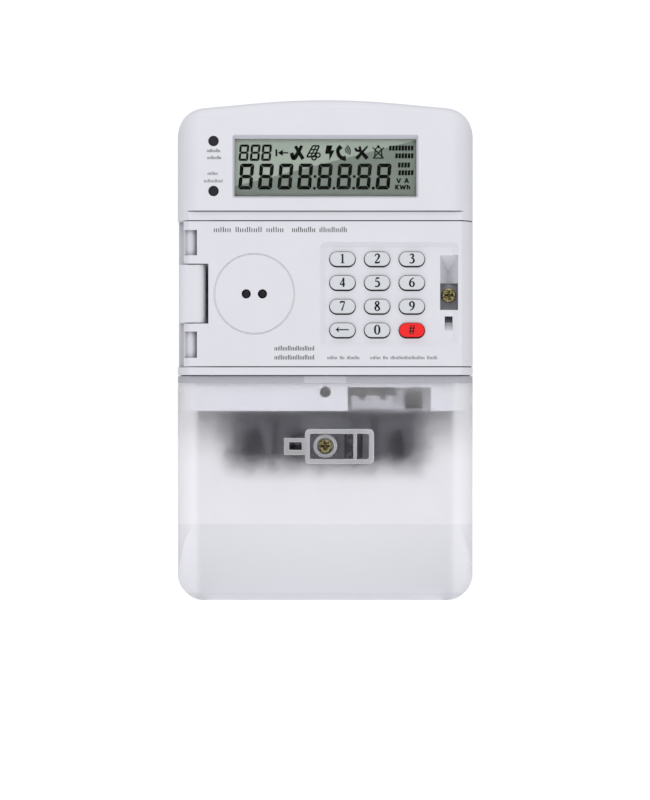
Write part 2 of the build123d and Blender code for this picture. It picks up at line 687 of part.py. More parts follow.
def module_back():
    """Back cover of the module, open round the contacts and the case boss."""
    right = WIDTH / 2 - WALL - GAP
    plate = block((-43.6, right), (52.5, 54.0), (DOOR_BOTTOM + 2.2, DOOR_TOP - 2.2))
    cut = [rod(x, z, 1.1, 52, 55) for x, z in MODULE_SCREWS]
    cut.append(block((-13.2, 13.2), (52, 55), (3.6, 12.4)))
    cut.append(rod(DOOR_SCREW_X, DOOR_SCREW_Z, 4.6, 52, 55))
    return plate - cut


def module_screws():
    """Four small screws that close the module from behind."""
    def screw(x, z):
        return fuse([rod(x, z, 2.1, 51.3, 52.5), rod(x, z, 0.95, 52.5, 60.5)])
    return group(screw(x, z) for x, z in MODULE_SCREWS)


def sealing_screw(x, z, head, seat, tip, shank):
    """Cross-recess screw with a drilled head for the seal wire."""
    body = fuse([rod(x, z, head, seat, seat + 2.0), rod(x, z, shank, tip, seat)])
    body = fillet(body.edges().group_by(Axis.Y)[0], 0.5)
    wire_hole = Pos(x, -(seat + 0.9), z) * Rotation(0, 90, 0) * Cylinder(0.5, 2 * head + 1)
    return body - [cross_slot(x, z, seat + 1.1, seat + 2.1, arm=3.4, width=0.9), wire_hole]


def door_screw():
    """Screw that locks the module door."""
    return sealing_screw(DOOR_SCREW_X, DOOR_SCREW_Z, 2.9, 64.7, 52.6, 1.5)


def door_screw_clip():
    """Clip that keeps the screw in the door."""
    return tube(DOOR_SCREW_X, DOOR_SCREW_Z, 2.8, 1.5, 56.8, 57.4)


# ---------------------------------------------------------------- terminal cover

def ramp_cut(shift):
    """Everything in front of the sloping lower part of the cover, moved back by shift."""
    low = BOTTOM - 5
    high = RAMP_TOP_Z + 20
    face = COVER_FACE - shift
    front = DEPTH + 10
    drop = (RAMP_TOP_Z - low) * RAMP_SLOPE
    points = ((-face, high), (-face, RAMP_TOP_Z), (drop - face, low), (-front, low), (-front, high))
    profile = make_face(FilletPolyline(*points, radius=(0, RAMP_EASE_R, 0, 0, 0), close=True))
    return extrude(Plane.YZ.offset(-WIDTH) * profile, 2 * WIDTH)


def terminal_cover():
    """Frosted lift-off cover over the terminals, with a sloping chin and a bevelled top edge."""
    start = PARTING + RIM_GAP
    below = band(-HEIGHT, COVER_TOP)
    shell = (form(0, start, COVER_FACE) & below) - ramp_cut(0)
    inner_face = COVER_FACE - WALL
    inner = (form(WALL, start - 1, inner_face) & band(-HEIGHT, COVER_TOP + 5)) - ramp_cut(WALL * 1.07)
    bevel = ((COVER_FACE + 1, COVER_TOP + 1), (COVER_FACE + 1, -13.3), (COVER_FACE, -13.3),
             (68.0, COVER_TOP), (68.0, COVER_TOP + 1))
    outlet = block((-OUTLET_HALF_W, OUTLET_HALF_W), (start - 1, 44.0), (BOTTOM - 1, BOTTOM + 4))
    pocket_hole = slab(pocket_sketch(0), 60, DEPTH + 2)
    eye = block((-14.5, -9.4), (60, DEPTH + 2), (-40.1, -36.9))
    return shell - [inner, side_profile(bevel, -WIDTH, WIDTH), outlet, pocket_hole, eye]


def pocket_sketch(inset):
    """Rounded outline of the seal pocket."""
    low_x, high_x, low_z, high_z = POCKET
    width = high_x - low_x - 2 * inset
    height = high_z - low_z - 2 * inset
    return Pos((low_x + high_x) / 2, (low_z + high_z) / 2) * RectangleRounded(width, height, 2.0 - inset / 2)


def seal_pocket():
    """Clear pocket welded into the cover: rim, floor, screw collar, rib and sealing eye."""
    wall = 1.8
    floor = (62.5, 64.0)
    rim = 70.0
    body = slab(pocket_sketch(0), floor[0], rim) - slab(pocket_sketch(wall), floor[1], rim + 1)
    low_z, high_z = POCKET[2:]
    rib = block((11.4, 12.6), (floor[1], 68.6), (low_z + wall, high_z - wall))
    collar = tube(COVER_SCREW_X, COVER_SCREW_Z, 4.6, 3.5, floor[1], 66.4)
    eye = block((-16.5, POCKET[0] + 0.5), (COVER_FACE, rim), (-42.1, -35.3))
    eye -= block((-14.5, -9.4), (COVER_FACE - 1, rim + 1), (-40.1, -36.9))
    body = fuse([body, rib, collar, eye])
    return body - rod(COVER_SCREW_X, COVER_SCREW_Z, 1.95, 60, 65)


def cover_screw():
    """Long screw that locks the terminal cover to the block."""
    return sealing_screw(COVER_SCREW_X, COVER_SCREW_Z, 2.85, 64.2, 45.5, 1.75)


def cover_screw_clip():
    """Clip that keeps the screw in the cover."""
    return tube(COVER_SCREW_X, COVER_SCREW_Z, 3.0, 1.75, 57.0, 57.6)


# ---------------------------------------------------------------- output

def all_parts():
    """Every named piece of the meter."""
    makers = (
        base_shell, hanger_plate, front_case, case_gasket, case_screws, apron_screw,
        display_window, lcd_glass, lcd_holder, lcd_pins, status_lenses, status_leds,
        main_board, circuit_chips, latching_relay, current_shunt, mains_transformer,
        smoothing_capacitors, surge_varistor, backup_battery, contact_block, contact_pins,
        terminal_block, terminal_cages, terminal_screws, busbars, thread_inserts,
        aux_terminals, cover_switch, hinge_pin,
        module_door, keypad_board, dome_sheet, port_ring, port_diodes, radio_board,
        radio_shield, module_back, module_screws, door_screw, door_screw_clip,
        terminal_cover, seal_pocket, cover_screw, cover_screw_clip,
    )
    parts = {maker.__name__: maker() for maker in makers}
    places = [(x, z) for z in KEY_ROWS for x in KEY_COLUMNS]
    for name, (x, z) in zip(KEY_NAMES, places):
        parts["key_" + name] = key(x, z)
    return parts


os.makedirs("parts", exist_ok=True)
for node, shape in all_parts().items():
    export_step(shape, f"parts/{node}.step")
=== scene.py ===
"""Looks of the prepaid electricity meter: materials, print, display contents, floor, light and camera.

Everything is in metres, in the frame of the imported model: X to the reader's right, +Z up, front at -Y.
Flat artwork is drawn in millimetres as (x, z) and laid on a face of the model.
"""

import json
import math

import bmesh
import bpy
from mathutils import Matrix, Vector


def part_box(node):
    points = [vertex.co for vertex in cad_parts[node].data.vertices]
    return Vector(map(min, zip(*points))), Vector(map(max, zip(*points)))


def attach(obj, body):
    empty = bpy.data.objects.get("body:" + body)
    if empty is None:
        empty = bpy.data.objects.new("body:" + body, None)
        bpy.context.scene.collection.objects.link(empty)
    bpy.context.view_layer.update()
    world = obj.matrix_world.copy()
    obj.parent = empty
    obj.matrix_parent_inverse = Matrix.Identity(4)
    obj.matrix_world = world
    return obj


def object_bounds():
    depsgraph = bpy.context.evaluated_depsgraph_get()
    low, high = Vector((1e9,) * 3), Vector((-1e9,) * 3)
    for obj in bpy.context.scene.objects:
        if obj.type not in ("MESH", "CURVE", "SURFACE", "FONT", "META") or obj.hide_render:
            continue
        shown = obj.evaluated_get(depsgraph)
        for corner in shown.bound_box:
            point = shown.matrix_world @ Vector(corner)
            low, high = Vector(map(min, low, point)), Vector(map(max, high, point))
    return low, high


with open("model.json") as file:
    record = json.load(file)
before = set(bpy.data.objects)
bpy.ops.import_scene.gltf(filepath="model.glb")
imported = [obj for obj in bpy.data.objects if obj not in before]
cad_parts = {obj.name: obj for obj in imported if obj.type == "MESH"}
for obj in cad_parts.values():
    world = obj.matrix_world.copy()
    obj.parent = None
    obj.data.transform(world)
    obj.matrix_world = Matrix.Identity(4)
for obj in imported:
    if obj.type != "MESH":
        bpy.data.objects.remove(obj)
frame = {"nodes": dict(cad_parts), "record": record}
cad_low, cad_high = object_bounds()
NODES = frame["nodes"]
MM = 0.001


# ---------------------------------------------------------------- flat artwork

class Artwork:
    """Thin raised marks on a face that looks along -Y, gathered into one mesh."""

    def __init__(self, face_y, thickness=0.03):
        self.mesh = bmesh.new()
        self.face_y = face_y
        self.thickness = thickness * MM
        self.count = 0

    def depths(self):
        """Front and back of the next mark; each one stands a hair further out than the last."""
        self.count += 1
        front = self.face_y - self.thickness - (self.count % 7) * 0.0008 * MM
        return front, self.face_y + 0.004 * MM

    def polygon(self, points):
        """Closed flat shape; the points run either way round."""
        front, back = self.depths()
        ahead = [self.mesh.verts.new((x * MM, front, z * MM)) for x, z in points]
        behind = [self.mesh.verts.new((x * MM, back, z * MM)) for x, z in points]
        self.mesh.faces.new(ahead)
        self.mesh.faces.new(behind[::-1])
        for n in range(len(points)):
            after = (n + 1) % len(points)
            self.mesh.faces.new((ahead[n], behind[n], behind[after], ahead[after]))

    def ribbon(self, points, widths, closed=False):
        """Stroke along points, each with its own width."""
        front, back = self.depths()
        rails = []
        for n, (x, z) in enumerate(points):
            before = points[n - 1] if n or closed else points[n]
            after = points[(n + 1) % len(points)] if n + 1 < len(points) or closed else points[n]
            along = Vector((after[0] - before[0], after[1] - before[1]))
            along.normalize()
            half = widths[n] / 2
            sides = ((x - along.y * half, z + along.x * half), (x + along.y * half, z - along.x * half))
            corners = [(sx * MM, y, sz * MM) for sx, sz in sides for y in (front, back)]
            rails.append([self.mesh.verts.new(corner) for corner in corners])
        last = len(points) if closed else len(points) - 1
        for n in range(last):
            a, b = rails[n], rails[(n + 1) % len(rails)]
            for i, j in ((0, 2), (2, 3), (3, 1), (1, 0)):
                self.mesh.faces.new((a[i], a[j], b[j], b[i]))
        if not closed:
            self.mesh.faces.new((rails[0][0], rails[0][1], rails[0][3], rails[0][2]))
            self.mesh.faces.new((rails[-1][0], rails[-1][2], rails[-1][3], rails[-1][1]))

    def stroke(self, controls, place=(0, 0), scale=(1, 1), closed=False, steps=5):
        """Smooth brush stroke through (x, z, width) controls, set at a place and scale."""
        x0, z0 = place
        sx, sz = scale
        smooth = spline(controls, closed, steps) if len(controls) > 2 else list(controls)
        points = [(x0 + x * sx, z0 + z * sz) for x, z, w in smooth]
        self.ribbon(points, [w * sx for x, z, w in smooth], closed)

    def disc(self, x, z, radius, sides=20):
        """Filled circle."""
        turn = 2 * math.pi / sides
        angles = [n * turn for n in range(sides)]
        self.polygon([(x + radius * math.cos(a), z + radius * math.sin(a)) for a in angles])

    def ring(self, x, z, radius, width, start=0, sweep=360, sides=24):
        """Circle line, or an arc of one."""
        closed = sweep == 360
        count = sides if closed else sides + 1
        angles = [math.radians(start + sweep * n / sides) for n in range(count)]
        points = [(x + radius * math.cos(a), z + radius * math.sin(a)) for a in angles]
        self.ribbon(points, [width] * count, closed)

    def finish(self, name, body, material):
        """Turn the marks into a piece that rides on a body."""
        bmesh.ops.recalc_face_normals(self.mesh, faces=self.mesh.faces)
        mesh = bpy.data.meshes.new(name)
        self.mesh.to_mesh(mesh)
        self.mesh.free()
        mesh.materials.append(material)
        piece = bpy.data.objects.new(name, mesh)
        bpy.context.scene.collection.objects.link(piece)
        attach(piece, body)
        return piece


def spline(controls, closed, steps):
    """Catmull-Rom curve through controls of any number of values."""
    count = len(controls)
    spans = count if closed else count - 1
    result = []
    for n in range(spans):
        if closed:
            around = [controls[(n + k) % count] for k in (-1, 0, 1, 2)]
        else:
            around = [controls[min(max(n + k, 0), count - 1)] for k in (-1, 0, 1, 2)]
        for step in range(steps):
            t = step / steps
            result.append(tuple(
                0.5 * (2 * b + (c - a) * t + (2 * a - 5 * b + 4 * c - d) * t * t
                       + (3 * b - a - 3 * c + d) * t * t * t)
                for a, b, c, d in zip(*around)
            ))
    if not closed:
        result.append(tuple(controls[-1]))
    return result


# Book-face figures in a box half as wide as it is high: strokes of (x, z, width), True when closed
FIGURES = {
    "0": [(((0.26, 1.0, 0.06), (0.43, 0.82, 0.12), (0.47, 0.5, 0.15), (0.43, 0.18, 0.12), (0.26, 0.0, 0.06),
            (0.09, 0.18, 0.12), (0.05, 0.5, 0.15), (0.09, 0.82, 0.12)), True)],
    "1": [(((0.27, 0.0, 0.13), (0.27, 0.99, 0.12)), False), (((0.09, 0.84, 0.04), (0.27, 0.98, 0.07)), False),
          (((0.09, 0.02, 0.05), (0.45, 0.02, 0.05)), False)],
    "2": [(((0.05, 0.74, 0.06), (0.12, 0.92, 0.08), (0.27, 0.99, 0.09), (0.43, 0.85, 0.14),
            (0.41, 0.64, 0.13), (0.26, 0.36, 0.08), (0.05, 0.06, 0.06)), False),
          (((0.03, 0.06, 0.12), (0.4, 0.06, 0.12), (0.48, 0.22, 0.05)), False)],
    "3": [(((0.06, 0.82, 0.06), (0.19, 0.98, 0.08), (0.37, 0.89, 0.13), (0.36, 0.68, 0.12),
            (0.18, 0.55, 0.05)), False),
          (((0.18, 0.55, 0.05), (0.38, 0.47, 0.11), (0.45, 0.27, 0.14), (0.34, 0.06, 0.11),
            (0.16, 0.01, 0.08), (0.04, 0.09, 0.1)), False)],
    "4": [(((0.37, 0.98, 0.06), (0.03, 0.28, 0.06)), False), (((0.02, 0.28, 0.1), (0.5, 0.28, 0.1)), False),
          (((0.36, 0.99, 0.13), (0.36, 0.0, 0.13)), False)],
    "5": [(((0.16, 0.94, 0.12), (0.47, 0.96, 0.11)), False), (((0.17, 0.97, 0.06), (0.1, 0.58, 0.06)), False),
          (((0.09, 0.58, 0.06), (0.29, 0.61, 0.09), (0.44, 0.42, 0.13), (0.43, 0.2, 0.14), (0.27, 0.03, 0.09),
            (0.05, 0.06, 0.1)), False)],
    "6": [(((0.46, 0.98, 0.05), (0.22, 0.83, 0.09), (0.08, 0.52, 0.13), (0.09, 0.2, 0.14), (0.26, 0.01, 0.07),
            (0.43, 0.18, 0.13), (0.43, 0.42, 0.13), (0.28, 0.57, 0.06), (0.11, 0.44, 0.05)), False)],
    "7": [(((0.05, 0.78, 0.05), (0.1, 0.94, 0.12), (0.48, 0.94, 0.12)), False),
          (((0.47, 0.93, 0.06), (0.19, 0.0, 0.11)), False)],
    "8": [(((0.26, 1.0, 0.07), (0.41, 0.86, 0.11), (0.36, 0.66, 0.11), (0.2, 0.5, 0.13), (0.07, 0.27, 0.13),
            (0.14, 0.06, 0.09), (0.26, 0.0, 0.07), (0.41, 0.08, 0.1), (0.45, 0.25, 0.13), (0.33, 0.47, 0.12),
            (0.15, 0.66, 0.12), (0.11, 0.85, 0.11)), True)],
    "enter": [(((0.2, 1.0, 0.08), (0.08, 0.0, 0.08)), False), (((0.46, 1.0, 0.08), (0.34, 0.0, 0.08)), False),
              (((0.0, 0.66, 0.07), (0.54, 0.66, 0.07)), False),
              (((-0.04, 0.34, 0.07), (0.5, 0.34, 0.07)), False)],
    "back": [(((-0.3, 0.5, 0.09), (0.85, 0.5, 0.08)), False),
             (((-0.38, 0.5, 0.04), (-0.22, 0.56, 0.1), (-0.1, 0.78, 0.04)), False),
             (((-0.38, 0.5, 0.04), (-0.22, 0.44, 0.1), (-0.1, 0.22, 0.04)), False)],
}
FIGURES["9"] = [(tuple((0.52 - x, 1.0 - z, w) for x, z, w in FIGURES["6"][0][0]), False)]


def segment_digit(art, x, z, width, height, stroke, lean=0.09):
    """Seven-segment figure eight with mitred segments; x and z are its middle."""
    w = (width - stroke) / 2
    h = (height - stroke) / 2
    t = stroke / 2
    gap = 0.05 * stroke
    cut = 0.45 * stroke  # chamfer of the outer corners
    outer = w + t - gap
    flat = [(outer - cut, h + t), (outer - cut / 2, h + t - cut / 2), (w - t - gap, h - t)]
    flat += [(-px, pz) for px, pz in reversed(flat)]
    upright = [(w + t, h + t - gap - cut), (w + t - cut / 2, h + t - gap - cut / 2), (w - t, h - t - gap),
               (w - t, t + gap), (w, gap), (w + t, t + gap)]
    middle = [(w - gap, 0), (w - t - gap, t), (t + gap - w, t),
              (gap - w, 0), (t + gap - w, -t), (w - t - gap, -t)]
    shapes = [middle]
    for up in (-1, 1):
        shapes.append([(px, up * pz) for px, pz in flat])
        for side in (-1, 1):
            shapes.append([(side * px, up * pz) for px, pz in upright])
    for shape in shapes:
        art.polygon([(x + px + pz * lean, z + pz) for px, pz in shape])


# ---------------------------------------------------------------- materials

class Look:
    """A node material around one principled shader."""

    def __init__(self, name, colour, roughness, metallic=0.0):
        self.material = bpy.data.materials.new(name)
        self.material.use_nodes = True
        self.tree = self.material.node_tree
        self.shader = self.tree.nodes["Principled BSDF"]
        self.colour = tuple(colour) + (1.0,)
        self.set("Base Color", self.colour)
        self.set("Roughness", roughness)
        self.set("Metallic", metallic)
        self.place = self.node("ShaderNodeTexCoord").outputs["Object"]

    def set(self, socket, value):
        self.shader.inputs[socket].default_value = value

    def node(self, kind, **values):
        made = self.tree.nodes.new(kind)
        for key, value in values.items():
            setattr(made, key, value)
        return made

    def link(self, out_socket, in_socket):
        self.tree.links.new(out_socket, in_socket)

    def noise(self, scale, detail=2.0, stretch=None):
        """Noise in the model's own space; stretch scales each axis."""
        made = self.node("ShaderNodeTexNoise")
        made.inputs["Scale"].default_value = scale
        made.inputs["Detail"].default_value = detail
        source = self.place
        if stretch:
            mapping = self.node("ShaderNodeMapping")
            mapping.inputs["Scale"].default_value = stretch
            self.link(source, mapping.inputs["Vector"])
            source = mapping.outputs["Vector"]
        self.link(source, made.inputs["Vector"])
        return made.outputs["Fac"]

    def spread(self, factor, low, high, start=0.3, end=0.7, curve="LINEAR"):
        """Map a factor onto a range of values."""
        made = self.node("ShaderNodeMapRange", interpolation_type=curve)
        made.inputs["From Min"].default_value = start
        made.inputs["From Max"].default_value = end
        made.inputs["To Min"].default_value = low
        made.inputs["To Max"].default_value = high
        self.link(factor, made.inputs["Value"])
        return made.outputs["Result"]

    def mix(self, factor, first, second):
        """Colour between first and second; each is a colour or a socket."""
        made = self.node("ShaderNodeMix", data_type="RGBA")
        for socket, value in ((made.inputs[6], first), (made.inputs[7], second)):
            if isinstance(value, tuple):
                socket.default_value = value
            else:
                self.link(value, socket)
        self.link(factor, made.inputs[0])
        return made.outputs[2]

    def math(self, operation, *values):
        """Arithmetic on sockets or numbers."""
        made = self.node("ShaderNodeMath", operation=operation)
        for socket, value in zip(made.inputs, values):
            if isinstance(value, (int, float)):
                socket.default_value = value
            else:
                self.link(value, socket)
        return made.outputs["Value"]

    def position(self):
        """X, Y and Z of the surface in the piece's own space."""
        made = self.node("ShaderNodeSeparateXYZ")
        self.link(self.place, made.inputs["Vector"])
        return made.outputs

    def within(self, low, high):
        """1 inside a box of the piece's own space, 0 outside; None leaves a side open."""
        factor = 1.0
        for socket, least, most in zip(self.position(), low, high):
            if least is not None:
                factor = self.math("MULTIPLY", factor, self.math("GREATER_THAN", socket, least * MM))
            if most is not None:
                factor = self.math("MULTIPLY", factor, self.math("LESS_THAN", socket, most * MM))
        return factor

    def shade_seams(self, colour, reach, darkest):
        """Painted shade: darken narrow seams, recesses and the foot of raised parts, the more so the more
        closely they are hemmed in.
        """
        hollow = self.node("ShaderNodeAmbientOcclusion", samples=6)
        hollow.inputs["Distance"].default_value = reach * MM
        level = self.spread(hollow.outputs["AO"], darkest, 1.0, start=0.1, end=0.85)
        shaded = self.node("ShaderNodeMix", data_type="RGBA", blend_type="MULTIPLY")
        shaded.inputs[0].default_value = 1.0
        self.link(colour, shaded.inputs[6])
        self.link(level, shaded.inputs[7])
        return shaded.outputs[2]

    def mottle(self, other, scale=90.0, low=0.0, high=1.0):
        """Base colour that drifts towards another one."""
        factor = self.spread(self.noise(scale, 4.0), low, high)
        drift = self.mix(factor, self.colour, tuple(other) + (1.0,))
        self.link(drift, self.shader.inputs["Base Color"])
        return drift

    def rough_patches(self, low, high, scale=140.0, stretch=None):
        """Roughness that varies over the surface."""
        self.link(self.spread(self.noise(scale, 3.0, stretch), low, high), self.shader.inputs["Roughness"])

    def surface(self, grain_scale, grain_depth, edge=0.25, stretch=None):
        """Fine grain as bump, over edges softened by a small radius in millimetres."""
        soft = self.node("ShaderNodeBevel", samples=4)
        soft.inputs["Radius"].default_value = edge * MM
        bump = self.node("ShaderNodeBump")
        bump.inputs["Strength"].default_value = 1.0
        bump.inputs["Distance"].default_value = grain_depth * MM
        self.link(self.noise(grain_scale, 2.0, stretch), bump.inputs["Height"])
        self.link(soft.outputs["Normal"], bump.inputs["Normal"])
        self.link(bump.outputs["Normal"], self.shader.inputs["Normal"])
        return soft.outputs["Normal"]

    def edges(self, soft_normal):
        """1 on edges, where the softened normal leaves the true one, and 0 on plain faces."""
        geometry = self.node("ShaderNodeNewGeometry")
        dot = self.node("ShaderNodeVectorMath", operation="DOT_PRODUCT")
        self.link(soft_normal, dot.inputs[0])
        self.link(geometry.outputs["Normal"], dot.inputs[1])
        return self.spread(dot.outputs["Value"], 1.0, 0.0, start=0.8, end=0.995)

    def worn_edges(self, soft_normal, under, edge_colour):
        """Lighten the base colour along edges."""
        factor = self.math("MULTIPLY", self.edges(soft_normal), 0.8)
        mixed = self.mix(factor, under, tuple(edge_colour) + (1.0,))
        self.link(mixed, self.shader.inputs["Base Color"])
        return mixed


def moulded(name, colour, roughness=0.42, grain=0.012, wear=1.05, seams=None, painted_zones=(), gloss=0.5):
    """Injection-moulded plastic with a fine spark-eroded grain and slightly polished edges.

    seams is the reach in millimetres and the darkest level of painted shade in narrow places; the zones of
    painted shade and painted light are boxes in millimetres, as low and high corner, with the colour inside
    each.
    """
    look = Look(name, colour, roughness)
    look.set("Specular IOR Level", gloss)
    base = look.mottle([c * 0.975 for c in colour], scale=60.0)
    look.rough_patches(roughness - 0.05, roughness + 0.07)
    soft = look.surface(2600.0, grain)
    base = look.worn_edges(soft, base, [min(1.0, c * wear) for c in colour])
    if seams:
        # Painted shade in seams and recesses.
        base = look.shade_seams(base, *seams)
    # Zones of painted shade and painted light.
    for low, high, other in painted_zones:
        base = look.mix(look.within(low, high), base, tuple(other) + (1.0,))
    look.link(base, look.shader.inputs["Base Color"])
    return look.material


def machined(name, colour, roughness, streak=(1.0, 6.0, 1.0), tarnish=0.6, seams=(1.4, 0.1)):
    """Turned or rolled metal with fine tool marks, some tarnish, and painted shade in its recesses."""
    look = Look(name, colour, roughness, metallic=1.0)
    base = look.mottle([c * tarnish for c in colour], scale=700.0, high=0.7)
    # Painted shade in the recesses.
    look.link(look.shade_seams(base, *seams), look.shader.inputs["Base Color"])
    look.rough_patches(roughness - 0.1, roughness + 0.15, scale=900.0, stretch=streak)
    look.surface(1600.0, 0.01, edge=0.12, stretch=streak)
    return look.material


def clear(name, tint, roughness, index=1.49):
    """See-through plastic or glass."""
    look = Look(name, tint, roughness)
    look.set("Transmission Weight", 1.0)
    look.set("IOR", index)
    look.surface(60.0, 0.002, edge=0.15)
    return look.material


def milkiness(look, across, up):
    """0 over the clear middle and 1 past a soft, cloudy fade round it, weaker towards the top."""
    half_width = 33.0 * MM
    half_height = 6.0 * MM
    middle_z = -34.5 * MM
    fade = 15.0 * MM
    beside = look.math("SUBTRACT", look.math("ABSOLUTE", across), half_width)
    past = look.math("SUBTRACT", look.math("ABSOLUTE", look.math("SUBTRACT", up, middle_z)), half_height)
    squares = [look.math("POWER", look.math("MAXIMUM", part, 0.0), 2.0) for part in (beside, past)]
    away = look.math("SQRT", look.math("ADD", *squares))
    cloud = look.spread(look.noise(200.0, 4.0), -1.5 * MM, 1.5 * MM)
    ragged = look.math("ADD", away, cloud)
    milky = look.spread(ragged, 0.0, 1.0, start=0.0, end=fade, curve="SMOOTHSTEP")
    return look.math("MULTIPLY", milky, look.spread(up, 1.0, 0.16, start=-44.0 * MM, end=-25.0 * MM))


def frosted():
    """Cover plastic: rough on both faces, see-through over the block, milky further out, with painted shade
    on the grey top bevel and on the chin.
    """
    look = Look("cover_frosted", (0.97, 0.97, 0.985), 0.55)
    look.set("IOR", 1.2)
    across, _, up = look.position()
    milky = milkiness(look, across, up)
    bevel = look.within((None, None, -13.25), (None, None, None))
    tab = look.within((-8.5, None, None), (8.4, None, None))
    chin = look.within((None, None, None), (None, None, -69.9))
    lowest = look.within((None, None, None), (None, None, -98.0))
    through_face = look.spread(milky, 1.0, 0.5, start=0.0, end=1.0)
    through_bevel = look.spread(bevel, 1.0, 0.15, start=0.0, end=1.0)
    through_side = look.spread(look.math("ABSOLUTE", across), 1.0, 0.75, start=50.0 * MM, end=52.5 * MM)
    seen_through = look.math("MULTIPLY", look.math("MULTIPLY", through_face, through_bevel), through_side)
    look.link(seen_through, look.shader.inputs["Transmission Weight"])
    # Painted shade: the chin is darker, the more so downwards, and the lowest strip darker still.
    downward = look.spread(up, 1.0, 0.0, start=-98.0 * MM, end=-75.0 * MM)
    chin_shade = look.mix(downward, (0.89, 0.89, 0.925, 1.0), (0.83, 0.83, 0.87, 1.0))
    pale = look.mix(chin, (0.955, 0.955, 0.985, 1.0), chin_shade)
    pale = look.mix(lowest, pale, (0.77, 0.77, 0.81, 1.0))
    body = look.mix(milky, look.colour, pale)
    # Painted shade on the grey top bevel, lighter over the tab: painted light where the case behind shows
    # through.
    bevel_shade = look.mix(tab, (0.405, 0.405, 0.445, 1.0), (0.51, 0.51, 0.55, 1.0))
    look.link(look.mix(bevel, body, bevel_shade), look.shader.inputs["Base Color"])
    look.rough_patches(0.5, 0.6, scale=220.0)
    look.surface(2100.0, 0.006, edge=0.4)
    return look.material


def pocket_plastic():
    """Seal pocket: clear floor, with hazy walls and whitened edges as painted highlight for light carried
    along the clear walls.
    """
    look = Look("pocket_clear", (0.95, 0.95, 0.985), 0.15)
    look.set("IOR", 1.25)
    floor_y = -64.3 * MM  # the walls stand forward of it
    wall = look.math("LESS_THAN", look.position()[1], floor_y)
    soft = look.surface(60.0, 0.002, edge=0.42)
    edge = look.spread(look.edges(soft), 0.0, 0.9, start=0.0, end=0.4)
    # Painted highlight: whitened edges and hazy walls stand for light carried along the clear walls.
    edge_highlight = look.math("MAXIMUM", edge, look.math("MULTIPLY", wall, 0.32))
    look.link(look.math("SUBTRACT", 1.0, edge_highlight), look.shader.inputs["Transmission Weight"])
    return look.material


def passivated(name, metal, tinge, stain):
    """Yellow-passivated zinc on a turned screw head, with greenish tinge and brown stains."""
    look = Look(name, metal, 0.3, metallic=1.0)
    green = look.mottle(tinge, scale=900.0)
    patches = look.spread(look.noise(1500.0, 3.0), 0.0, 1.0, start=0.46, end=0.58)
    stained = look.mix(patches, green, tuple(stain) + (1.0,))
    # Painted shade in the recesses of the screw head.
    look.link(look.shade_seams(stained, 1.6, 0.04), look.shader.inputs["Base Color"])
    look.rough_patches(0.2, 0.45, scale=900.0)
    look.surface(1600.0, 0.01, edge=0.12)
    return look.material


def circuit_board(name, mask, copper):
    """Solder mask with the raised pattern of tracks and tinned pads."""
    look = Look(name, mask, 0.35)
    tracks = look.node("ShaderNodeTexVoronoi", distance="MANHATTAN", feature="DISTANCE_TO_EDGE")
    tracks.inputs["Scale"].default_value = 260.0
    look.link(look.place, tracks.inputs["Vector"])
    line = look.spread(tracks.outputs["Distance"], 1.0, 0.0, start=0.05, end=0.09)
    pads = look.node("ShaderNodeTexVoronoi")
    pads.inputs["Scale"].default_value = 180.0
    look.link(look.place, pads.inputs["Vector"])
    pad = look.spread(pads.outputs["Distance"], 1.0, 0.0, start=0.16, end=0.2)
    base = look.mix(line, look.colour, tuple(c * 1.7 for c in mask) + (1.0,))
    look.link(look.mix(pad, base, tuple(copper) + (1.0,)), look.shader.inputs["Base Color"])
    look.link(pad, look.shader.inputs["Metallic"])
    bump = look.node("ShaderNodeBump")
    bump.inputs["Distance"].default_value = 0.03 * MM
    look.link(line, bump.inputs["Height"])
    look.link(bump.outputs["Normal"], look.shader.inputs["Normal"])
    return look.material


def lcd_cell():
    """Reflective display ground: grey-green, paler above a diagonal line as a painted sheen of a gloss film,
    darker below it.
    """
    look = Look("lcd_ground", (0.36, 0.415, 0.357), 0.45)
    pale = look.mottle((0.375, 0.43, 0.37), scale=900.0)
    across, _, up = look.position()
    start_x = -35.0
    start_z = 66.0
    rise = 0.2535
    # Painted sheen: the ground is paler above this diagonal line and darker below it.
    line = look.math("MULTIPLY_ADD", across, rise, (start_z - start_x * rise) * MM)
    height = look.math("SUBTRACT", up, line)
    above = look.spread(height, 0.0, 1.0, start=-0.15 * MM, end=0.15 * MM)
    look.link(look.mix(above, (0.205, 0.243, 0.208, 1.0), pale), look.shader.inputs["Base Color"])
    look.set("Specular IOR Level", 0.15)
    look.surface(2400.0, 0.004, edge=0.1)
    return look.material


def laminated():
    """Transformer core: thin stacked sheets."""
    look = Look("core_laminated", (0.2, 0.2, 0.21), 0.45, metallic=0.9)
    look.surface(900.0, 0.05, edge=0.2, stretch=(0.05, 8.0, 0.05))
    look.rough_patches(0.35, 0.6)
    return look.material


def printed(name, colour, roughness=0.5):
    """Pad-printed ink with uneven cover."""
    look = Look(name, colour, roughness)
    look.set("Specular IOR Level", 0.05)
    look.mottle([c * 1.6 for c in colour], scale=1500.0, high=0.6)
    look.rough_patches(roughness - 0.1, roughness + 0.15, scale=1200.0)
    return look.material


WHITE = (0.595, 0.595, 0.64)
# Reach in millimetres and darkest level of the painted shade in seams and recesses.
SEAM_SHADE = (2.6, 0.35)

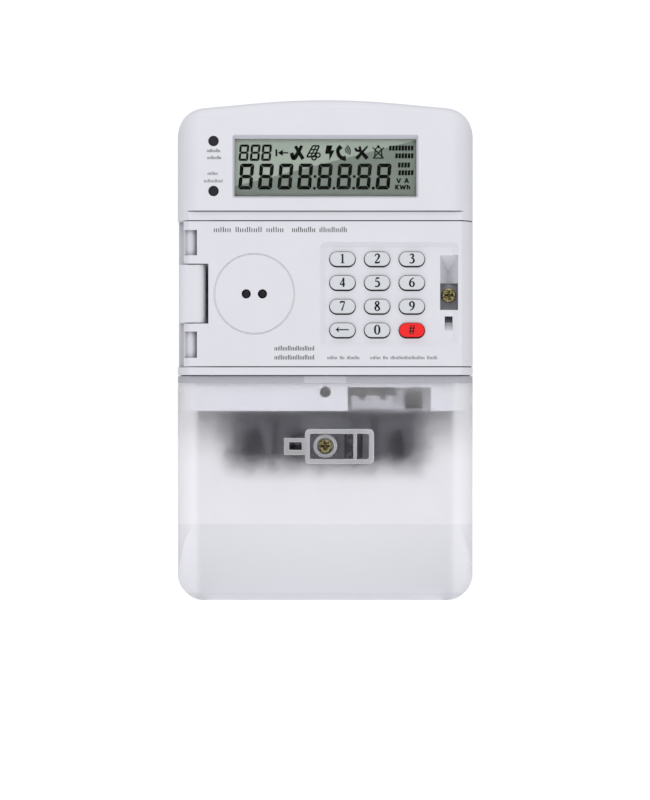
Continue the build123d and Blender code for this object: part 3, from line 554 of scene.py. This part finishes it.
# Zones of painted shade and painted light: low corner, high corner (millimetres, None leaves a side open) and
# colour
CHAMBER_LIGHT = ((-57.0, None, -99.0), (57.0, -2.4, -24.6), (0.8, 0.8, 0.825))  # base round the terminals, painted lighter than the rest of the base: painted light for the light the cover lets in
BLOCK_TOP_LIGHT = ((-9.0, None, -31.0), (9.0, None, -24.6), (0.26, 0.26, 0.28))  # painted light: paler top of the block between the poles, where light comes in through the cover
APRON = ((-57.0, None, -24.6), (57.0, None, -10.6), (0.72, 0.72, 0.765))  # part of the case behind the cover, painted lighter than the case and clear of seam shade: painted light
# Painted shade: the hole in the apron, near black.
APRON_HOLE_SHADE = ((-2.3, -66.4, -19.3), (2.3, -52.0, -14.5), (0.02, 0.02, 0.022))
AUX_SHADOW = ((9.0, -65.5, -18.4), (28.5, -50.0, -13.6), (0.04, 0.04, 0.045))  # upper part of the notch
LCD_LEDGE_SHADE = ((-38.5, -69.85, 84.3), (38.5, -66.0, 87.0), (0.42, 0.42, 0.47))  # painted shade on the slope above the display
LCD_JAMB_SHADE = ((-38.5, -69.85, 60.0), (-36.2, -66.0, 84.3), (0.52, 0.52, 0.57))  # painted shade on the slope left of the display
# Painted shade in the seal trough on the door, deeper in the pocket round its screw and at the top of the
# slot below.
TROUGH_SHADE = ((45.9, -67.75, 6.0), (53.3, -60.0, 38.0), (0.49, 0.49, 0.53))
POCKET_SHADE = ((45.9, -67.75, 15.9), (53.3, -60.0, 26.7), (0.27, 0.27, 0.3))
SLOT_TOP_SHADE = ((47.5, -67.75, 11.0), (51.4, -60.0, 13.6), (0.17, 0.17, 0.19))
# Painted light and shade: the ring line round the port gets a set tone in place of the seam shade.
PORT_LINE_PAINTED = ((-45.0, -68.75, 5.5), (-11.5, -68.0, 39.5), (0.62, 0.62, 0.66))
# Painted shade on the top slope of the keypad recess.
RECESS_TOP_SHADE = ((-2.6, -68.75, 40.9), (54.0, -67.85, 43.6), (0.545, 0.545, 0.59))
KEY_SKIRT_SHADOW = ((None, -68.0, None), (None, None, None), (0.02, 0.02, 0.02))  # painted shadow: the keys are near black below the face of the recess, for the dark gap round them

MATERIALS = {
    "case_white": moulded("case_white", WHITE, seams=SEAM_SHADE,
                          painted_zones=(APRON, APRON_HOLE_SHADE, AUX_SHADOW, LCD_LEDGE_SHADE, LCD_JAMB_SHADE)),
    "door_white": moulded("door_white", WHITE, roughness=0.4, seams=SEAM_SHADE,
                          painted_zones=(TROUGH_SHADE, POCKET_SHADE, SLOT_TOP_SHADE, PORT_LINE_PAINTED, RECESS_TOP_SHADE)),
    "base_grey": moulded("base_grey", tuple(c * 0.95 for c in WHITE), roughness=0.5, grain=0.02,
                         painted_zones=(CHAMBER_LIGHT,)),
    "key_white": moulded("key_white", (0.53, 0.545, 0.575), roughness=0.35, grain=0.004,
                         painted_zones=(KEY_SKIRT_SHADOW,)),
    "key_red": moulded("key_red", (0.74, 0.008, 0.01), roughness=0.4, grain=0.004, wear=1.1,
                       painted_zones=(KEY_SKIRT_SHADOW,), gloss=0.25),
    "window_clear": clear("window_clear", (0.985, 0.99, 0.99), 0.02, index=1.1),
    "lcd": lcd_cell(),
    "light_box": moulded("light_box", (0.8, 0.8, 0.78), roughness=0.6),
    "lens_smoke": moulded("lens_smoke", (0.01, 0.009, 0.013), roughness=0.25, grain=0.002, wear=6.0,
                          gloss=0.2),
    "led_clear": clear("led_clear", (0.95, 0.4, 0.35), 0.08),
    "port_dark": moulded("port_dark", (0.008, 0.007, 0.01), roughness=0.25, grain=0.002, wear=3.0,
                         gloss=0.2),
    "board_green": circuit_board("board_green", (0.012, 0.11, 0.04), (0.75, 0.73, 0.66)),
    "board_film": moulded("board_film", (0.6, 0.6, 0.56), roughness=0.4),
    "chip_black": moulded("chip_black", (0.02, 0.02, 0.022), roughness=0.6, grain=0.01, wear=1.6),
    "relay_blue": moulded("relay_shell", (0.55, 0.56, 0.58), roughness=0.45),
    "core_steel": laminated(),
    "can_sleeve": moulded("can_sleeve", (0.02, 0.025, 0.05), roughness=0.3, grain=0.003, wear=1.8),
    "varistor_blue": moulded("varistor_blue", (0.02, 0.07, 0.35), roughness=0.3, grain=0.03, wear=1.3),
    "battery_wrap": moulded("battery_wrap", (0.03, 0.22, 0.1), roughness=0.3, grain=0.003, wear=1.3),
    "gold_contact": machined("gold_contact", (0.95, 0.72, 0.3), 0.25, tarnish=0.85),
    "tin_contact": machined("tin_contact", (0.72, 0.72, 0.73), 0.3, tarnish=0.85),
    "steel": machined("zinc_steel", (0.62, 0.62, 0.64), 0.33, tarnish=0.75),
    "brass": machined("brass", (0.6, 0.5, 0.26), 0.25, tarnish=0.4),
    "seal_screws": passivated("yellow_zinc", (0.33, 0.26, 0.165), (0.17, 0.2, 0.05), (0.06, 0.032, 0.022)),
    "copper": machined("copper", (0.82, 0.38, 0.22), 0.3),
    "gasket_black": moulded("gasket_black", (0.02, 0.02, 0.02), roughness=0.8, grain=0.02, wear=1.2),
    "block_dark": moulded("block_dark", (0.13, 0.13, 0.148), roughness=0.6, grain=0.02, wear=1.3,
                          painted_zones=(BLOCK_TOP_LIGHT,)),
    "aux_green": moulded("aux_grey", (0.45, 0.45, 0.48), roughness=0.5, painted_zones=(AUX_SHADOW,)),
    "cover_frosted": frosted(),
    "pocket_clear": pocket_plastic(),
    "terminals": machined("terminal_steel", (0.24, 0.235, 0.26), 0.5, tarnish=0.7),
    # Painted shade: the screw deep in the apron hole is near black for the shade in the hole.
    "deep_screw": machined("deep_screw_shaded", (0.05, 0.05, 0.055), 0.6, tarnish=0.7),
}
OWN_LOOK = {name: "terminals" for name in ("terminal_cages", "terminal_screws", "busbars")}
OWN_LOOK["apron_screw"] = "deep_screw"
OWN_LOOK.update({name: "seal_screws" for name in ("door_screw", "cover_screw")})


def dress_cad():
    """Give every CAD node the material of its slot, or its own look."""
    for row in frame["record"]["subparts"]:
        slot = OWN_LOOK.get(row["node"], row["material_slot"])
        mesh = NODES[row["node"]].data
        mesh.materials.clear()
        mesh.materials.append(MATERIALS[slot])


# ---------------------------------------------------------------- marks on the object

def key_legends():
    """Figure printed on each key."""
    ink = printed("key_ink", (0.012, 0.012, 0.014))
    height = 3.7
    wider = 1.15
    bolder = 1.5
    for node in NODES:
        if not node.startswith("key_"):
            continue
        low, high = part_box(node)
        x = (low.x + high.x) / 2 / MM
        z = (low.z + high.z) / 2 / MM
        art = Artwork(low.y)
        for controls, closed in FIGURES[node[4:]]:
            heavier = [(dx * wider, dz, width * bolder) for dx, dz, width in controls]
            art.stroke(heavier, (x - 0.26 * wider * height, z - 0.46 * height), (height, height), closed)
        art.finish(node + "_legend", node, ink)


def display_contents():
    """Dark segments, symbols and units on the front of the display cell."""
    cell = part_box("lcd_glass")[0]
    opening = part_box("display_window")
    cx = (opening[0].x + opening[1].x) / 2 / MM
    cz = (opening[0].z + opening[1].z) / 2 / MM
    art = Artwork(cell.y, thickness=0.02)
    for n in range(3):
        segment_digit(art, cx - 32.75 + 4.55 * n, cz + 6.15, 3.9, 6.6, 0.95)
    first, pitch = cx - 31.8, 7.87
    for n in range(8):
        segment_digit(art, first + pitch * n, cz - 3.4, 5.7, 10.4, 1.45)
    for n in range(3, 7):
        art.disc(first + pitch * n + 3.75, cz - 8.1, 0.62)
    for n in (3, 5):
        art.disc(first + pitch * n + 4.0, cz - 3.4, 0.62)
    display_symbols(art, cx, cz + 6.1)
    display_units(art, cx, cz)
    ink = printed("lcd_segment", (0.0015, 0.0018, 0.0015), roughness=0.5)
    art.finish("display_segments", "case", ink)


def display_symbols(art, cx, z):
    """Row of plain symbols: arrow, check, notes, flash, call, tools and bell."""
    art.stroke(((cx - 19.7, z - 1.4, 0.8), (cx - 19.7, z + 1.4, 0.8)))
    art.stroke(((cx - 18.2, z, 0.55), (cx - 15.0, z, 0.55)))
    art.polygon([(cx - 19.2, z), (cx - 17.1, z + 1.25), (cx - 17.1, z - 1.25)])
    art.stroke(((cx - 13.6, z, 1.5), (cx - 12.5, z - 2.2, 1.7), (cx - 9.5, z + 2.9, 1.2)))
    art.stroke(((cx - 12.1, z + 2.7, 1.3), (cx - 9.0, z - 2.5, 1.5)))
    notes_symbol(art, cx - 4.7, z)
    flash = ((0.4, 3.0), (2.9, 3.0), (2.2, 1.0), (3.6, 1.0), (1.5, -3.2), (1.5, -0.4), (-0.2, -0.4))
    art.polygon([(cx + dx, z + dz) for dx, dz in flash])
    art.stroke(((cx + 6.3, z + 2.6, 1.9), (cx + 5.0, z + 1.2, 1.5), (cx + 5.3, z - 0.8, 1.5),
                (cx + 6.7, z - 2.1, 1.6), (cx + 8.2, z - 2.2, 2.2)))
    for radius in (1.1, 1.9, 2.7):
        art.ring(cx + 7.2, z + 0.6, radius, 0.5, start=-30, sweep=90, sides=8)
    art.stroke(((cx + 12.4, z - 2.4, 1.5), (cx + 16.9, z + 2.7, 0.6)))
    art.stroke(((cx + 16.8, z - 2.3, 1.6), (cx + 13.6, z + 1.1, 1.3)))
    art.ring(cx + 13.0, z + 1.7, 0.9, 1.0, start=160, sweep=260, sides=12)
    bell_symbol(art, cx + 21.2, z)


def notes_symbol(art, x, z):
    """Leaning pack of notes over two coins."""
    outline = ((x - 2.8, z - 1.6), (x - 0.4, z + 2.8), (x + 2.2, z + 2.8), (x + 0.2, z - 1.6))
    for start, end in zip(outline, outline[1:] + outline[:1]):
        art.ribbon([start, end], [0.62, 0.62])
    for share in (0.33, 0.66):
        left = (x - 2.8 + 2.4 * share, z - 1.6 + 4.4 * share)
        art.ribbon([left, (left[0] + 2.8, left[1])], [0.5, 0.5])
    art.ribbon([(x - 1.3, z - 1.6), (x + 1.0, z + 2.8)], [0.5, 0.5])
    art.ring(x + 0.1, z - 2.0, 0.85, 0.6, sides=14)
    art.ring(x + 1.7, z - 0.9, 0.85, 0.6, sides=14)


def bell_symbol(art, x, z):
    """Crossed-out bell."""
    thin = 0.5
    for side in (-1, 1):
        art.ribbon([(x - side * 2.3, z + 2.2), (x + side * 2.2, z - 2.2)], [thin, thin])
        art.ribbon([(x + side * 1.25, z + 0.9), (x + side * 1.5, z - 2.1)], [thin, thin])
    art.ring(x, z + 0.9, 1.25, thin, start=0, sweep=180, sides=10)
    art.ribbon([(x - 1.8, z - 2.1), (x + 1.8, z - 2.1)], [thin, thin])
    art.disc(x, z + 2.6, 0.55, sides=10)


def display_units(art, cx, cz):
    """Bar gauges in place of words, and the units V, A and kWh."""
    pitch = 1.25
    width = 1.0
    half_height = 1.0
    lean = 0.12
    for right, row, blocks in ((35.2, 8.0, 8), (35.2, 4.9, 6), (33.8, 1.2, 4), (35.2, -1.9, 5)):
        low = cz + row - half_height
        high = cz + row + half_height
        for n in range(blocks):
            x = cx + right - pitch * n
            art.polygon([(x - width, low), (x, low), (x + lean, high), (x + lean - width, high)])
    letters = {
        "V": (((0, 1.9), (0.75, 0)), ((1.5, 1.9), (0.75, 0))),
        "A": (((0, 0), (0.75, 1.9)), ((1.5, 0), (0.75, 1.9)), ((0.3, 0.6), (1.2, 0.6))),
        "k": (((0.2, 0), (0.2, 1.9)), ((0.2, 0.7), (1.3, 1.9)), ((0.5, 0.9), (1.4, 0))),
        "W": (((0, 1.9), (0.55, 0)), ((0.55, 0), (1.1, 1.6)), ((1.1, 1.6), (1.65, 0)),
              ((1.65, 0), (2.2, 1.9))),
        "h": (((0.2, 0), (0.2, 1.9)), ((0.2, 0.9), (0.75, 1.25)), ((0.75, 1.25), (1.15, 0.9)),
              ((1.15, 0.9), (1.15, 0))),
    }
    places = (("V", 28.6, -6.0), ("A", 31.8, -6.0), ("k", 28.0, -8.6), ("W", 29.9, -8.6), ("h", 32.6, -8.6))
    for letter, dx, dz in places:
        for start, end in letters[letter]:
            ends = [(cx + dx + px, cz + dz + pz) for px, pz in (start, end)]
            art.ribbon(ends, [0.55, 0.55])


def greeked_line(art, start, end, z, height, words):
    """A line of print shown only as upright ticks from start to end; words are their letter counts."""
    space = 0.8
    pitch = (end - start) / (sum(words) + space * (len(words) - 1))
    thin = height * 0.17
    x = start
    count = 0
    for letters in words:
        for _ in range(letters):
            count += 1
            for place in (0.2, 0.68):
                tall = height if (count * 7 + round(place)) % 5 < 2 else height * 0.72
                middle = x + place * pitch
                art.ribbon([(middle, z), (middle, z + tall)], [thin, thin])
            x += pitch
        x += space * pitch


def printed_marks():
    """Print on the door and by the status lights, all unreadable."""
    ink = printed("marking_ink", (0.03, 0.03, 0.034))
    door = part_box("module_door")[0]
    art = Artwork(door.y, thickness=0.01)
    greeked_line(art, -44.8, -16.4, 47.1, 2.1, (4, 6, 4))
    greeked_line(art, -13.4, 8.9, 47.1, 2.1, (6, 7))
    greeked_line(art, -20.4, -4.2, -0.3, 1.9, (12,))
    greeked_line(art, -20.4, -4.2, -3.9, 1.9, (12,))
    greeked_line(art, 0.8, 13.8, -3.8, 1.35, (4, 2, 5))
    greeked_line(art, 18.0, 45.0, -3.8, 1.35, (4, 2, 13, 4))
    art.finish("door_print", "module", ink)
    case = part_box("front_case")[0]
    art = Artwork(case.y, thickness=0.01)
    for start, end, z, letters in ((-47.4, -41.9, 79.0, 6), (-47.2, -41.5, 76.2, 6), (-47.1, -42.9, 69.9, 4),
                                   (-48.6, -40.9, 66.9, 7)):
        greeked_line(art, start, end, z, 1.35, (letters,))
    art.finish("lamp_print", "case", ink)


# ---------------------------------------------------------------- floor, light and camera

def make_floor():
    """Pale floor under the meter."""
    size = 6.0
    mesh = bpy.data.meshes.new("floor")
    z = cad_low.z
    corners = [(-size, -size, z), (size, -size, z), (size, size, z), (-size, size, z)]
    mesh.from_pydata(corners, [], [(0, 1, 2, 3)])
    floor = bpy.data.objects.new("floor", mesh)
    bpy.context.scene.collection.objects.link(floor)
    look = Look("floor_pale", (0.9, 0.9, 0.9), 0.6)
    look.mottle((0.88, 0.88, 0.885), scale=4.0)
    look.set("Emission Color", (1.0, 1.0, 1.0, 1.0))
    look.set("Emission Strength", 0.5)
    mesh.materials.append(look.material)


def make_light():
    """White surroundings and two large soft boxes."""
    world = bpy.data.worlds.new("studio")
    bpy.context.scene.world = world
    world.use_nodes = True
    tree = world.node_tree
    tree.nodes["Background"].inputs["Color"].default_value = (0.985, 0.985, 1.0, 1.0)
    path = tree.nodes.new("ShaderNodeLightPath")
    level = tree.nodes.new("ShaderNodeMapRange")
    level.inputs["To Min"].default_value = 0.6  # light on the meter
    level.inputs["To Max"].default_value = 1.05  # white behind it
    tree.links.new(path.outputs["Is Camera Ray"], level.inputs["Value"])
    tree.links.new(level.outputs["Result"], tree.nodes["Background"].inputs["Strength"])
    soft_box("key_box", (0.0, -0.97, 0.46), (0.62, 0.56), power=2.6)
    soft_box("top_box", (0.0, -0.35, 0.95), (0.9, 0.6), power=3.0)


def soft_box(name, place, size, power):
    """Rectangular light that looks at the meter."""
    light = bpy.data.lights.new(name, "AREA")
    light.shape = "RECTANGLE"
    light.size, light.size_y = size
    light.energy = power
    lamp = bpy.data.objects.new(name, light)
    bpy.context.scene.collection.objects.link(lamp)
    lamp.location = place
    aim = Vector((0.0, cad_low.y, 0.0)) - Vector(place)
    lamp.rotation_euler = aim.to_track_quat("-Z", "Y").to_euler()


def make_camera():
    """Camera square to the front, a little below the meter's middle."""
    camera = bpy.data.cameras.new("camera")
    eye = bpy.data.objects.new("camera", camera)
    bpy.context.scene.collection.objects.link(eye)
    distance = 1.2
    seen_height = 0.320
    camera.sensor_width = 36.0
    camera.lens = camera.sensor_width * distance / seen_height
    middle = (cad_low + cad_high) / 2
    eye_height = 0.0809  # above the lower end of the meter
    aside = -0.0001
    eye.location = (middle.x + aside, cad_low.y - distance, cad_low.z + eye_height)
    eye.rotation_euler = (math.radians(90), 0, 0)
    bpy.context.scene.camera = eye
    bpy.context.scene.view_settings.view_transform = "Standard"


make_camera()
dress_cad()
key_legends()
display_contents()
printed_marks()
make_floor()
make_light()
